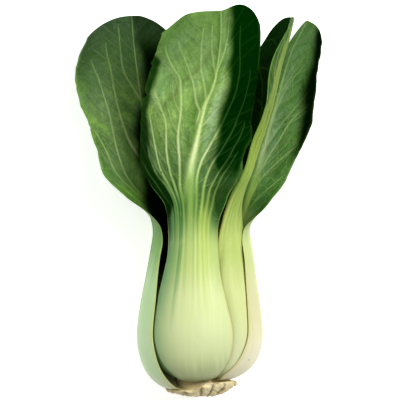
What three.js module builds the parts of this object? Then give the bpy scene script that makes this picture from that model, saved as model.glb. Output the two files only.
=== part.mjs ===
// A head of small bok choy lying on its back: a cut butt, five outer leaves and three inner
// ones. Millimetres, +Z up, +Y from the butt to the leaf tips, standing on the z = 0 plane.
// Every leaf is a fleshy pale stalk and a thin green blade, kept as two bodies by colour.
import * as THREE from "three";

// Overall placing
const axisHeight = 31.0;
const centreX = -0.27;
const centreY = 96.59;

// Clearances between bodies
const pressedGap = 1.3;
const colourCut = 0.4;
const leafEdge = 0.7;

// Outline of the bulb, by length along it from the butt
const bulb = {
  t: [-10, 0, 6.7, 15.3, 24.1, 33.7, 46.8, 63, 77.7, 87.3, 110],
  radius: [4, 13.5, 20, 26.5, 30.3, 31.5, 30.2, 27.4, 24.9, 23.7, 22.6],
  height: [5.6, 6.2, 8, 13.5, 21.5, 31, 44, 60, 74.5, 84, 106.6],
};

// Lengths along a leaf at which it is measured, and its flesh there
const outerLeaf = {
  t: [0, 12, 24, 36, 50, 64, 78, 90, 100, 112, 128, 146, 162, 178, 196],
  body: [5.5, 7.0, 8.0, 8.0, 7.0, 6.0, 5.0, 4.4, 3.8, 3.2, 2.6, 2.1, 1.7, 1.2, 0.4],
  spread: [8, 11, 14, 15, 13, 11, 9, 8, 6.5, 5, 3.4, 2.5, 2.0, 1.6, 1.2],
  cupT: [66, 86, 100, 120, 150, 196],
  colourAt: 96,
  columns: 20,
  flute: 0.6,
  inset: 0, tuck: 1.0, lean: 0, drop: 0, rise: 1.0, under: [],
  crown: [12, 2.4, 12, 2.4], dip: 0, fold: 0, foldAt: 10,
  wave: 1.5, waveLength: 38, phase: 0.5,
};

const innerLeaf = {
  t: [6, 14, 24, 36, 50, 64, 78, 90, 100, 112, 124, 136, 148],
  body: [1.6, 2.4, 3.4, 4.2, 4.2, 4.0, 3.6, 3.0, 2.4, 2.0, 1.6, 1.1, 0.5],
  spread: [4, 6, 8, 9, 8, 7, 6, 5, 4, 3, 2.4, 1.8, 1.2],
  wNeg: [5, 9, 13, 14, 12, 10, 8, 8, 9, 12, 14, 13, 7],
  wPos: [5, 9, 13, 14, 12, 10, 8, 8, 9, 12, 14, 13, 7],
  cupT: [66, 86, 100, 120, 148],
  cupNeg: [3.6, 3.6, 3.0, 2.2, 1.8],
  cupPos: [3.6, 3.6, 3.0, 2.2, 1.8],
  colourAt: 90,
  columns: 8,
  flute: 0.3,
  inset: 9, tuck: 1.5, lean: 0, drop: 1.6, rise: 0.8,
  under: ["left", "right", "front", "back", "rightFront"],
  crown: [8, 2.4, 8, 2.4], dip: 0, fold: 0, foldAt: 10,
  wave: 0.8, waveLength: 30, phase: 0.5,
};

// wNeg and wPos are the half widths to either side of the midrib. A path is the midrib of the
// free blade, turn is the side it faces away from and cup its curl in degrees per millimetre.
const leaves = {
  left: {
    ...outerLeaf,
    angle: -95, drop: -3.0, lean: -0.7, tuck: 0.4,
    wNeg: [10, 20, 26, 28, 25, 21.5, 19, 15.5, 14, 17, 22, 25, 29, 31, 21],
    wPos: [15, 23.5, 26, 25, 23.5, 20, 17.5, 16, 20.2, 24.4, 26.6, 28.4, 32.2, 31.7, 24],
    path: [[100, -24.4, 98, 27], [118, -26.5, 117, 22], [138, -28.6, 137, 16],
      [159, -31.5, 157.5, 10], [178, -34, 176, 4.6], [196, -35.5, 193, 1.3]],
    turnT: [66, 86, 100, 115, 196], turn: [-95, -100, -140, -168, -178],
    cupNeg: [2.4, 2.8, 2.0, 0.8, 0.5, 0.4], cupPos: [2.4, 2.8, 1.0, 0.5, 0.4, 0.3],
    crown: [14, 2.0, 11, 2.2],
  },
  right: {
    ...outerLeaf,
    angle: 104, drop: 2.0, lean: 1.3, tuck: 0.4,
    wNeg: [18, 30.5, 32, 29.5, 27, 23.5, 20, 17, 14, 15.2, 18.5, 19.9, 18.7, 16.3, 12.4],
    wPos: [9, 19, 26, 28, 25, 20, 15, 12, 12, 15, 17, 15, 9.6, 5.4, 3],
    path: [[100, 26, 97.5, 24], [118, 30.4, 115.2, 20], [138, 36, 135.6, 15.5],
      [159, 41.3, 154.5, 10.5], [178, 47.1, 173.3, 4.8], [194, 54.8, 189, 1.3]],
    turnT: [66, 86, 100, 115, 196], turn: [104, 108, 140, 165, 177],
    cupNeg: [2.4, 2.8, 1.0, 0.5, 0.4, 0.3], cupPos: [2.4, 2.8, 2.0, 0.8, 0.5, 0.4],
    crown: [7, 2.6, 12, 1.6],
  },
  front: {
    ...outerLeaf,
    columns: 24,
    angle: -12, drop: 1.6, tuck: 1.6, under: ["left", "right"],
    wNeg: [8, 16, 22, 23.5, 20, 16, 13, 12.5, 15, 25.5, 29.5, 29.5, 32, 33, 29],
    wPos: [8, 16.5, 23, 24.5, 21, 17, 15, 14.5, 18, 23.2, 25.6, 28.9, 25.6, 20.3, 20.8],
    path: [[98, -4.7, 95, 55], [108, -4.8, 105, 56.2], [125, -3.4, 121.6, 57.3],
      [146, 1.4, 141.8, 57.5], [158, 6.3, 153, 57.3], [170, 9.2, 164, 56],
      [184, 10.6, 177.6, 54], [196, 10.7, 189.6, 51.5]],
    turnT: [66, 86, 100, 130, 196], turn: [-12, -10, -4, 0, 0],
    cupNeg: [2.4, 2.4, 2.2, 1.5, 0.7, 0.6], cupPos: [2.4, 2.4, 1.2, 0.6, 0.5, 0.4],
    crown: [12, 4.2, 5, 12], dip: 3.4, fold: 28,
  },
  back: {
    ...outerLeaf,
    columns: 12,
    angle: 188, drop: 1.0, under: ["left", "right"],
    t: [0, 12, 24, 36, 50, 64, 78, 90, 100, 112, 128, 142, 154, 166, 176],
    wNeg: [8, 16, 23, 25, 22, 18, 14, 12, 13, 17, 22, 25, 25, 22, 15],
    wPos: [8, 16, 23, 25, 23, 18, 14, 12, 13, 18, 22, 25, 25, 22, 15],
    path: [[100, -5, 98, 6], [117, -7, 115, 4.6], [137, -9, 135, 3.2],
      [157, -11, 155, 2.2], [176, -12.5, 174, 1.6]],
    turnT: [66, 86, 110, 176], turn: [188, 186, 182, 182],
    cupNeg: [2.4, 2.2, 1.4, 0.6, 0.2, 0.1], cupPos: [2.4, 2.2, 1.4, 0.6, 0.2, 0.1],
    wave: 0.8,
  },
  rightFront: {
    ...outerLeaf,
    angle: 47, drop: 1.4, under: ["right", "front"],
    t: [0, 12, 24, 36, 50, 64, 78, 90, 100, 112, 128, 146, 162, 177, 193],
    wNeg: [7, 12, 17, 18, 17, 15, 11, 8, 6, 5.5, 6.5, 11, 14, 13, 9],
    wPos: [7, 12, 17, 18, 17, 15, 12, 9, 10, 13, 18, 21, 23.5, 28.5, 27],
    path: [[100, 18.6, 98, 46.5], [112, 23, 111, 46], [126, 28, 124.5, 45],
      [140, 32.4, 136.8, 43.5], [153, 35.9, 149.2, 41.5], [168, 39.5, 164.2, 39],
      [181, 43.4, 176.9, 36], [192, 46.3, 186.6, 33.5]],
    turnT: [66, 86, 100, 120, 150, 196], turn: [47, 52, 66, 84, 96, 100],
    cupNeg: [2.6, 2.8, 3.2, 3.4, 3.2, 2.8], cupPos: [2.6, 2.8, 3.0, 2.4, 1.9, 1.6],
    crown: [3, 2.2, 13, 4], dip: 4.2, wave: 1.0,
  },
  innerLeft: {
    ...innerLeaf,
    angle: -62,
    path: [[100, -14, 98, 37], [120, -15.5, 118, 37], [140, -16.5, 137, 35.5],
      [148, -17, 145, 34.5]],
    turnT: [66, 86, 148], turn: [-62, -62, -60],
  },
  innerRight: {
    ...innerLeaf,
    angle: 30,
    path: [[100, 8, 98, 43.5], [120, 9, 118, 43], [138, 9.5, 135, 41.5], [148, 10, 144, 40.5]],
    turnT: [66, 86, 148], turn: [30, 30, 20],
  },
  innerBack: {
    ...innerLeaf,
    angle: 165,
    wNeg: [5, 9, 13, 14, 12, 10, 8, 8, 8, 9, 10, 9, 5],
    wPos: [5, 9, 13, 14, 12, 10, 8, 8, 8, 9, 10, 9, 5],
    path: [[100, 3, 98, 15.5], [120, 3, 118, 13], [138, 3, 136, 11], [148, 3, 146, 10.5]],
    turnT: [66, 86, 148], turn: [165, 168, 176],
  },
};

function curveAt(knots, values, at) {
  const last = knots.length - 1;
  const x = Math.min(Math.max(at, knots[0]), knots[last]);
  let k = 0;
  while (k < last - 1 && x >= knots[k + 1]) k += 1;
  const slope = (i) => {
    const a = Math.max(i - 1, 0);
    const b = Math.min(i + 1, last);
    return (values[b] - values[a]) / (knots[b] - knots[a]);
  };
  const h = knots[k + 1] - knots[k];
  const f = (x - knots[k]) / h;
  const g = f * f;
  const c = g * f;
  return (2 * c - 3 * g + 1) * values[k] + (c - 2 * g + f) * h * slope(k)
    + (3 * g - 2 * c) * values[k + 1] + (c - g) * h * slope(k + 1);
}

function smoothStep(low, high, at) {
  const x = Math.min(Math.max((at - low) / (high - low), 0), 1);
  return x * x * (3 - 2 * x);
}

function softMax(a, b, k = 1.2) {
  const h = Math.min(Math.max(0.5 + 0.5 * (a - b) / k, 0), 1);
  return b + (a - b) * h + k * h * (1 - h);
}

const radians = (degrees) => degrees * Math.PI / 180;
const wrap = (angle) => ((angle + 180) % 360 + 360) % 360 - 180;
const halfWidth = (leaf, t, side) => curveAt(leaf.t, side < 0 ? leaf.wNeg : leaf.wPos, t);
const reach = (leaf, t) => Math.max(curveAt(bulb.t, bulb.radius, t) - leaf.inset, 4.5);

function flesh(leaf, s, t) {
  return curveAt(leaf.t, leaf.body, t) * Math.exp(-((s / curveAt(leaf.t, leaf.spread, t)) ** 2));
}

function bulbPoint(t, depth) {
  const r = curveAt(bulb.t, bulb.radius, t);
  const y = curveAt(bulb.t, bulb.height, t);
  const dr = curveAt(bulb.t, bulb.radius, t + 0.5) - curveAt(bulb.t, bulb.radius, t - 0.5);
  const dy = curveAt(bulb.t, bulb.height, t + 0.5) - curveAt(bulb.t, bulb.height, t - 0.5);
  const n = Math.hypot(dr, dy);
  return [r - depth * dy / n, y + depth * dr / n];
}

// How far a stalk lies under the bulb's outline: clear of every leaf that wraps it
function stalkDepth(leaf, angle, at) {
  const t = Math.max(at, leaf.t[0]);
  const s = radians(wrap(angle - leaf.angle)) * reach(leaf, t);
  const w = halfWidth(leaf, t, s);
  let depth = leaf.inset + leaf.tuck * (s / w) ** 2 - leaf.lean * smoothStep(35, 80, t);
  for (const name of leaf.under) {
    const over = leaves[name];
    const to = Math.max(t, over.t[0]);
    const so = radians(wrap(angle - over.angle)) * reach(over, to);
    const wo = halfWidth(over, to, so);
    const inside = Math.min(Math.max(so, -wo), wo);
    const outside = Math.max(0, Math.abs(so) - wo);
    const overAngle = over.angle + inside / reach(over, to) * 180 / Math.PI;
    const limit = stalkDepth(over, overAngle, to) + leafEdge + flesh(over, inside, to)
      + pressedGap + 1.5 * smoothStep(55, 80, t) - leaf.rise * outside;
    depth = softMax(depth, limit);
  }
  return depth;
}

// The lower leaf, wrapped round the bulb
function wrapped(leaf, s, t) {
  const angle = leaf.angle + s / reach(leaf, t) * 180 / Math.PI;
  const depth = stalkDepth(leaf, angle, t);
  const [r, y] = bulbPoint(t, depth);
  const [r0, y0] = bulbPoint(t, depth + 0.1);
  const [r1, y1] = bulbPoint(t, depth - 0.1);
  const a = radians(angle);
  const low = leaf.drop * (1 - smoothStep(2, 45, t));
  return {
    point: new THREE.Vector3(r * Math.sin(a), y + low, axisHeight + r * Math.cos(a)),
    normal: new THREE.Vector3((r0 - r1) * Math.sin(a), y0 - y1, (r0 - r1) * Math.cos(a))
      .multiplyScalar(5),
  };
}

// The upper leaf, spread to both sides of a free midrib
function spread(leaf, s, t) {
  const start = [66, 76, 86].map((at) => [at, ...wrapped(leaf, 0, at).point.toArray()]);
  const path = [...start, ...leaf.path];
  const knots = path.map((row) => row[0]);
  const at = (x) => new THREE.Vector3(...[1, 2, 3].map((i) => curveAt(knots, path.map((row) => row[i]), x)));
  const tc = Math.min(Math.max(t, knots[0] + 0.7), knots[knots.length - 1] - 0.7);
  const along = at(tc + 0.7).sub(at(tc - 0.7)).normalize();
  const rib = at(tc).addScaledVector(along, t - tc);
  const turn = radians(curveAt(leaf.turnT, leaf.turn, t));
  const inward = new THREE.Vector3(-Math.sin(turn), 0, -Math.cos(turn));
  inward.addScaledVector(along, -inward.dot(along)).normalize();
  const across = new THREE.Vector3().crossVectors(inward, along);
  const curl = curveAt(leaf.cupT, s < 0 ? leaf.cupNeg : leaf.cupPos, t);
  const fold = s > 0 ? leaf.fold * smoothStep(120, 150, t) : 0;
  const bendAt = (m) => radians(curl * m + fold * smoothStep(leaf.foldAt - 4, leaf.foldAt + 4, m));
  const steps = 16;
  const side = Math.sign(s);
  const piece = Math.abs(s) / steps;
  for (let i = 0; i < steps; i += 1) {
    const bend = bendAt(piece * (i + 0.5));
    rib.addScaledVector(across, Math.cos(bend) * piece * side);
    rib.addScaledVector(inward, Math.sin(bend) * piece);
  }
  const bend = bendAt(Math.abs(s));
  return {
    point: rib,
    normal: inward.multiplyScalar(Math.cos(bend)).addScaledVector(across, -Math.sin(bend) * side),
  };
}

function crownAt(leaf, u) {
  const a = Math.abs(u);
  if (u < 0) return leaf.crown[0] * a ** leaf.crown[1];
  return leaf.crown[2] * a ** leaf.crown[3] - leaf.dip * Math.sin(Math.PI * a);
}

// Ribs of the outer face, one to every four columns, from the stalk into the fan of main veins
function ribAt(leaf, u, t) {
  const along = smoothStep(24, 80, t) * (1 - smoothStep(125, 165, t));
  return along * (1 - u ** 4) * 0.5 * (1 + Math.cos(Math.PI * u * leaf.columns / 2));
}

// Outer and inner face of a leaf at u across it (-1 to 1) and t along it
function leafPoints(leaf, u, t) {
  const length = leaf.t[leaf.t.length - 1];
  const s = u * halfWidth(leaf, t, u);
  const tt = t - crownAt(leaf, u) * smoothStep(length * 0.5, length, t);
  const near = wrapped(leaf, s, Math.min(tt, 100));
  const far = spread(leaf, s, Math.max(tt, 68));
  const mix = smoothStep(70, 90, tt);
  const point = near.point.lerp(far.point, mix);
  const normal = near.normal.lerp(far.normal, mix).normalize();
  const free = smoothStep(88, 115, tt);
  const swing = Math.sin(2 * Math.PI * tt / leaf.waveLength + leaf.phase * Math.sign(u));
  point.addScaledVector(normal, leaf.wave * free * Math.abs(u) ** 3 * swing);
  const fat = flesh(leaf, s, t);
  const rib = leaf.flute * ribAt(leaf, u, t);
  const outer = point.clone().addScaledVector(normal, -0.7 * free * fat - rib);
  const inner = point.clone().addScaledVector(normal, leafEdge + fat * (1 - 0.7 * free));
  outer.z = Math.max(outer.z, 0);
  inner.z = Math.max(inner.z, leafEdge);
  return [outer, inner];
}

// A closed body from two facing grids of points, split into triangles alike on both faces
function slab(outer, inner) {
  const rows = outer.length;
  const columns = outer[0].length;
  const points = [...outer.flat(), ...inner.flat()];
  const index = [];
  const quad = (a, b, c, d) => index.push(a, b, c, a, c, d);
  const at = (i, j, face) => face * rows * columns + i * columns + j;
  for (let i = 0; i + 1 < rows; i += 1) {
    for (let j = 0; j + 1 < columns; j += 1) {
      quad(at(i, j, 0), at(i, j + 1, 0), at(i + 1, j + 1, 0), at(i + 1, j, 0));
      index.push(at(i, j, 1), at(i + 1, j + 1, 1), at(i, j + 1, 1));
      index.push(at(i, j, 1), at(i + 1, j, 1), at(i + 1, j + 1, 1));
    }
    quad(at(i, 0, 0), at(i + 1, 0, 0), at(i + 1, 0, 1), at(i, 0, 1));
    const j = columns - 1;
    quad(at(i, j, 0), at(i, j, 1), at(i + 1, j, 1), at(i + 1, j, 0));
  }
  for (let j = 0; j + 1 < columns; j += 1) {
    quad(at(0, j, 0), at(0, j, 1), at(0, j + 1, 1), at(0, j + 1, 0));
    const i = rows - 1;
    quad(at(i, j, 0), at(i, j + 1, 0), at(i, j + 1, 1), at(i, j, 1));
  }
  const geometry = new THREE.BufferGeometry().setFromPoints(points);
  geometry.setIndex(index);
  return geometry;
}

function leafBody(leaf, rows) {
  const outer = [];
  const inner = [];
  for (const t of rows) {
    const pairs = [];
    for (let j = 0; j <= leaf.columns; j += 1) {
      pairs.push(leafPoints(leaf, 2 * j / leaf.columns - 1, t));
    }
    outer.push(pairs.map((pair) => pair[0]));
    inner.push(pairs.map((pair) => pair[1]));
  }
  return slab(outer, inner);
}

const evenly = (from, to, steps) => Array.from({ length: steps + 1 }, (_, i) => from + (to - from) * i / steps);

// The butt: a short cut stem, broken off unevenly below, with the growing tip inside the bases
const butt = {
  segments: 30,
  radius: [0, 7, 12, 15.2, 16.7, 16.9, 16.2, 12.6, 11.8, 10.5, 6.0, 0],
  height: [0.5, 0.3, 1.4, 3.1, 4.7, 6.0, 7.2, 7.2, 9.2, 12.5, 15.0, 16.0],
  rough: [0, 0.5, 0.6, 0.6, 0.4, 0.3, 0.2, 0, 0, 0, 0, 0],
  lip: [0, 0, 0, 0.1, 0.3, 0.8, 1, 0, 0, 0, 0, 0],
  lipReach: 3.2, lipRise: 1.4,
};

function buttBody() {
  const points = [];
  const rings = butt.radius.length;
  const seg = butt.segments;
  for (let i = 0; i < rings; i += 1) {
    const low = i === 0 || i === rings - 1;
    for (let j = 0; j < (low ? 1 : seg); j += 1) {
      const a = 2 * Math.PI * j / seg;
      const leftSide = smoothStep(108, 84, Math.abs(wrap(a * 180 / Math.PI + 95)));
      const shelf = i >= 3 && i <= 7 ? 4.8 * leftSide * (i - 2) / 5 : 0;
      const ragged = butt.rough[i] * (Math.sin(5 * a + i) + Math.sin(11 * a + 2.3 * i));
      const lip = butt.lip[i] * smoothStep(85, 30, Math.abs(wrap(a * 180 / Math.PI - 12)));
      const r = butt.radius[i] + 0.5 * ragged + butt.lipReach * lip;
      const y = butt.height[i] - shelf + 0.4 * ragged + butt.lipRise * lip;
      points.push(new THREE.Vector3(r * Math.sin(a), Math.max(y, 0), axisHeight + r * Math.cos(a)));
    }
  }
  const index = [];
  const at = (i, j) => (i === 0 ? 0 : i === rings - 1 ? points.length - 1 : 1 + (i - 1) * seg + j % seg);
  for (let j = 0; j < seg; j += 1) {
    index.push(0, at(1, j + 1), at(1, j));
    for (let i = 1; i < rings - 2; i += 1) {
      index.push(at(i, j), at(i, j + 1), at(i + 1, j + 1));
      index.push(at(i, j), at(i + 1, j + 1), at(i + 1, j));
    }
    index.push(at(rings - 2, j), at(rings - 2, j + 1), at(rings - 1, 0));
  }
  const geometry = new THREE.BufferGeometry().setFromPoints(points);
  geometry.setIndex(index);
  return geometry;
}

const group = new THREE.Group();
group.name = "bok_choy";

function addNode(name, geometry, colour, roughness) {
  geometry.translate(-centreX, -centreY, 0);
  geometry.computeVertexNormals();
  const material = new THREE.MeshStandardMaterial({ color: colour, roughness, metalness: 0 });
  const mesh = new THREE.Mesh(geometry, material);
  mesh.name = name;
  group.add(mesh);
}

const stalkRows = [0, 3, 7, 12, 18, 24, 30, 36, 43, 52, 63, 74, 85, 96];
const tints = {
  left: ["#c4d3a0", "#3f6b35"],
  right: ["#dfe3b4", "#4a7340"],
  front: ["#d3e0a8", "#4c7f3f"],
  back: ["#d0dca8", "#44703a"],
  rightFront: ["#dbe29c", "#2f5a2c"],
  innerLeft: ["#dbe5b0", "#6f9a4c"],
  innerRight: ["#dbe5b0", "#6f9a4c"],
  innerBack: ["#dbe5b0", "#6f9a4c"],
};

addNode("butt", buttBody(), "#d9c9a3", 0.8);
for (const [name, leaf] of Object.entries(leaves)) {
  const length = leaf.t[leaf.t.length - 1];
  const lower = stalkRows.filter((t) => t > leaf.t[0] && t < leaf.colourAt - 3);
  const blade = evenly(leaf.colourAt + colourCut, length, leaf.columns > 10 ? 13 : 8);
  addNode(`${name}_stalk`, leafBody(leaf, [leaf.t[0], ...lower, leaf.colourAt]), tints[name][0], 0.45);
  addNode(`${name}_blade`, leafBody(leaf, blade), tints[name][1], 0.5);
}

export default group;
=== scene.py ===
import bpy
import math
import numpy as np
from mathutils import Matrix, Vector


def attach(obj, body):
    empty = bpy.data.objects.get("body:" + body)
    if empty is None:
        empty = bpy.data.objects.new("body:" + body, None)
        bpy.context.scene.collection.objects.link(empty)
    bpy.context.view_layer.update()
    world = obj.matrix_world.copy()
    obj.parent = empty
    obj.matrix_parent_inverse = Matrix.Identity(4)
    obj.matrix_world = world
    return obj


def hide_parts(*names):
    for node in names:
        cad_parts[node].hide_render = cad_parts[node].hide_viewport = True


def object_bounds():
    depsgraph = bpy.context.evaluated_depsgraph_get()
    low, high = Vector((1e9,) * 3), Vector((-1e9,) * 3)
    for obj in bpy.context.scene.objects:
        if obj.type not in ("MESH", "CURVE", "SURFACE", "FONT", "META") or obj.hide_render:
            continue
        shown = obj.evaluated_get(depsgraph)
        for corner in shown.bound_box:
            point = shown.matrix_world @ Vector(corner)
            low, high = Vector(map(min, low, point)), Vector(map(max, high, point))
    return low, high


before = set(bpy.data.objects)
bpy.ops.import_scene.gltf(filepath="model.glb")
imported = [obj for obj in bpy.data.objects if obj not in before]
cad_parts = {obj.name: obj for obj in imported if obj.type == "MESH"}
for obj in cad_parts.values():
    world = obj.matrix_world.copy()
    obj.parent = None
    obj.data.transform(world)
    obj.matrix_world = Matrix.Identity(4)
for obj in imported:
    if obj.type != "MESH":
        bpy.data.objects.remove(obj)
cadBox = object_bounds()
print("packed head loaded")

# The head grows along +Y from its butt at y 0, round an axis above the table, all in mm.
head = {
    "axisHeight": 31.0,
    "centreX": -0.27,
    "centreY": 96.59,
    "pressedGap": 0.5,   # between stalks that press on each other
    "edge": 0.6,         # thinnest leaf
    "opens": (88, 115),  # how far up a leaf its blade opens out
}

bulb = {   # outline by length along it from the butt
    "t": [-10, 0, 6.7, 15.3, 24.1, 33.7, 46.8, 63, 77.7, 87.3, 110],
    "radius": [4, 13.5, 20, 26.5, 30.3, 31.5, 30.2, 27.4, 24.9, 23.7, 22.6],
    "height": [5.6, 6.2, 8, 13.5, 21.5, 31, 44, 60, 74.5, 84, 106.6],
}


# Small maths used by every leaf

def curveAt(knots, values, at):
    knots = np.asarray(knots, float)
    values = np.asarray(values, float)
    flat = values.ndim == 1
    if flat:
        values = values[:, None]
    at = np.clip(np.asarray(at, float), knots[0], knots[-1])
    slope = np.empty_like(values)
    slope[1:-1] = (values[2:] - values[:-2]) / (knots[2:] - knots[:-2])[:, None]
    slope[0] = (values[1] - values[0]) / (knots[1] - knots[0])
    slope[-1] = (values[-1] - values[-2]) / (knots[-1] - knots[-2])
    k = np.clip(np.searchsorted(knots, at, side="right") - 1, 0, len(knots) - 2)
    h = (knots[k + 1] - knots[k])[..., None]
    x = (at - knots[k])[..., None] / h
    found = ((2 * x**3 - 3 * x**2 + 1) * values[k] + (x**3 - 2 * x**2 + x) * h * slope[k]
             + (3 * x**2 - 2 * x**3) * values[k + 1] + (x**3 - x**2) * h * slope[k + 1])
    return found[..., 0] if flat else found


def lineAt(pairs, at):   # a curve through pairs of place and value
    return curveAt([row[0] for row in pairs], [row[1] for row in pairs], at)


def smoothStep(low, high, at):
    x = np.clip((at - low) / (high - low), 0, 1)
    return x * x * (3 - 2 * x)


def between(pair, share):
    return pair[0] + (pair[1] - pair[0]) * share


def bell(away, width):
    return np.exp(-(away / width) ** 2)


def softMax(a, b, k=1.2):
    h = np.clip(0.5 + 0.5 * (a - b) / k, 0, 1)
    return b + (a - b) * h + k * h * (1 - h)


def wrapAngle(angle):
    return (angle + 180) % 360 - 180


def unitVector(v):
    return v / np.linalg.norm(v, axis=-1, keepdims=True)


def softNoise(x, y, seed):   # smooth random field, -1 to 1, one bump a unit
    lattice = np.random.default_rng(seed).uniform(-1, 1, (97, 97))
    x0, y0 = np.floor(x).astype(int), np.floor(y).astype(int)
    fx, fy = x - x0, y - y0
    fx, fy = fx * fx * (3 - 2 * fx), fy * fy * (3 - 2 * fy)

    def pick(i, j):
        return lattice[(x0 + i) % 97, (y0 + j) % 97]

    return ((pick(0, 0) * (1 - fx) + pick(1, 0) * fx) * (1 - fy)
            + (pick(0, 1) * (1 - fx) + pick(1, 1) * fx) * fy)


# Leaf form: wrapped round the bulb below, spread along a free midrib above

plainLeaf = {   # what every leaf has unless it says otherwise
    "lean": 0, "drop": 0, "dip": 0, "fold": 0, "foldAt": 10, "phase": 0.5, "taper": 2.0,
    "notches": [], "bands": [], "glow": [], "deep": [], "sheen": [], "dim": [], "stain": None,
    "midline": [[0, 0], [200, 0]], "ribBand": None, "rimNeg": 1.0,
}

outerLeaf = {
    **plainLeaf,
    "t": [0, 12, 24, 36, 50, 64, 78, 90, 100, 112, 128, 146, 162, 178, 196],
    "body": [5.5, 7.0, 8.0, 8.0, 7.0, 6.0, 5.0, 4.4, 3.8, 3.2, 2.6, 2.1, 1.7, 1.2, 0.4],
    "spread": [8, 11, 14, 15, 13, 11, 9, 8, 6.5, 5, 3.4, 2.5, 2.0, 1.6, 1.2],
    "cupT": [66, 86, 100, 120, 150, 196],
    "inset": 0, "tuck": 1.0, "rise": 1.0, "under": [],
    "crown": [12, 2.4, 12, 2.4], "wave": 1.5, "waveLength": 38,
    "columns": 116, "rows": 320, "colourAt": 98,
    "ribs": 0.7, "pleat": 0.75, "veinStrength": 1.0,
}

innerLeaf = {
    **plainLeaf,
    "t": [6, 14, 24, 36, 50, 64, 78, 90, 100, 112, 124, 136, 148],
    "body": [1.6, 2.4, 3.4, 4.2, 4.2, 4.0, 3.6, 3.0, 2.4, 2.0, 1.6, 1.1, 0.5],
    "spread": [4, 6, 8, 9, 8, 7, 6, 5, 4, 3, 2.4, 1.8, 1.2],
    "wNeg": [5, 9, 13, 14, 12, 10, 8, 8, 9, 12, 14, 13, 7],
    "wPos": [5, 9, 13, 14, 12, 10, 8, 8, 9, 12, 14, 13, 7],
    "cupT": [66, 86, 100, 120, 148],
    "cupNeg": [3.6, 3.6, 3.0, 2.2, 1.8],
    "cupPos": [3.6, 3.6, 3.0, 2.2, 1.8],
    "inset": 9, "tuck": 1.5, "drop": 1.6, "rise": 0.8,
    "under": ["left", "right", "front", "back", "rightFront"],
    "crown": [8, 2.4, 8, 2.4], "wave": 0.8, "waveLength": 30,
    "columns": 44, "rows": 110, "colourAt": 92,
    "ribs": 0.3, "pleat": 0.5, "veinStrength": 0.8, "midrib": 1.6,
}


def halfWidth(leaf, t, side):
    return np.where(side < 0, curveAt(leaf["t"], leaf["wNeg"], t), curveAt(leaf["t"], leaf["wPos"], t))


def bulbAt(key, t):
    return curveAt(bulb["t"], bulb[key], t)


def reach(leaf, t):
    return np.maximum(bulbAt("radius", t) - leaf["inset"], 4.5)


def flesh(leaf, s, t):
    return curveAt(leaf["t"], leaf["body"], t) * bell(s, curveAt(leaf["t"], leaf["spread"], t))


def bulbPoint(t, depth):
    r, y = bulbAt("radius", t), bulbAt("height", t)
    dr = bulbAt("radius", t + 0.5) - bulbAt("radius", t - 0.5)
    dy = bulbAt("height", t + 0.5) - bulbAt("height", t - 0.5)
    n = np.hypot(dr, dy)
    return r - depth * dy / n, y + depth * dr / n


def stalkDepth(leaf, angle, t):   # under the bulb's outline, clear of every leaf that wraps it
    t = np.maximum(t, leaf["t"][0])
    s = np.radians(wrapAngle(angle - leaf["angle"])) * reach(leaf, t)
    depth = leaf["inset"] + leaf["tuck"] * (s / halfWidth(leaf, t, s)) ** 2
    depth = depth - leaf["lean"] * smoothStep(35, 80, t)
    for name in leaf["under"]:
        over = leaves[name]
        to = np.maximum(t, over["t"][0])
        so = np.radians(wrapAngle(angle - over["angle"])) * reach(over, to)
        wo = halfWidth(over, to, so)
        inside = np.clip(so, -wo, wo)
        outside = np.maximum(0, np.abs(so) - wo)
        limit = (stalkDepth(over, over["angle"] + np.degrees(inside / reach(over, to)), to) + head["edge"]
                 + flesh(over, inside, to) + head["pressedGap"] + 1.5 * smoothStep(55, 80, t)
                 - leaf["rise"] * outside)
        depth = softMax(depth, limit)
    return depth


def wrapped(leaf, s, t):
    angle = leaf["angle"] + np.degrees(s / reach(leaf, t))
    depth = stalkDepth(leaf, angle, t)
    a = np.radians(angle)
    r, y = bulbPoint(t, depth)
    r0, y0 = bulbPoint(t, depth + 0.1)
    r1, y1 = bulbPoint(t, depth - 0.1)
    y = y + leaf["drop"] * (1 - smoothStep(2, 45, t))
    point = np.stack([r * np.sin(a), y, head["axisHeight"] + r * np.cos(a)], -1)
    normal = np.stack([(r0 - r1) * np.sin(a), y0 - y1, (r0 - r1) * np.cos(a)], -1) * 5
    return point, normal


def spreadOut(leaf, s, t):
    start = np.array([66.0, 76.0, 86.0])
    lowPoints, _ = wrapped(leaf, np.zeros(3), start)
    knots = np.concatenate([start, [row[0] for row in leaf["path"]]])
    points = np.concatenate([lowPoints, [row[1:] for row in leaf["path"]]])
    tc = np.clip(t, knots[0] + 0.7, knots[-1] - 0.7)
    along = unitVector(curveAt(knots, points, tc + 0.7) - curveAt(knots, points, tc - 0.7))
    rib = curveAt(knots, points, tc) + along * (t - tc)[..., None]
    turn = np.radians(curveAt(leaf["turnT"], leaf["turn"], t))
    inward = np.stack([-np.sin(turn), 0 * turn, -np.cos(turn)], -1)
    inward = unitVector(inward - (inward * along).sum(-1, keepdims=True) * along)
    across = np.cross(inward, along)
    curl = np.where(s < 0, curveAt(leaf["cupT"], leaf["cupNeg"], t), curveAt(leaf["cupT"], leaf["cupPos"], t))
    fold = leaf["fold"] * smoothStep(120, 150, t) * (s > 0)

    def bendAt(m):
        return np.radians(curl * m + fold * smoothStep(leaf["foldAt"] - 4, leaf["foldAt"] + 4, m))

    steps = 16
    m = np.abs(s) / steps
    side = np.sign(s)
    sideways, into = 0 * s, 0 * s
    for i in range(steps):
        bend = bendAt(m * (i + 0.5))
        sideways = sideways + np.cos(bend) * m
        into = into + np.sin(bend) * m
    bend = bendAt(np.abs(s))
    point = rib + across * (sideways * side)[..., None] + inward * into[..., None]
    normal = inward * np.cos(bend)[..., None] - across * (np.sin(bend) * side)[..., None]
    return point, normal


# Veins: main ones fan out of the stalk, side ones leave them in turn

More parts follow.
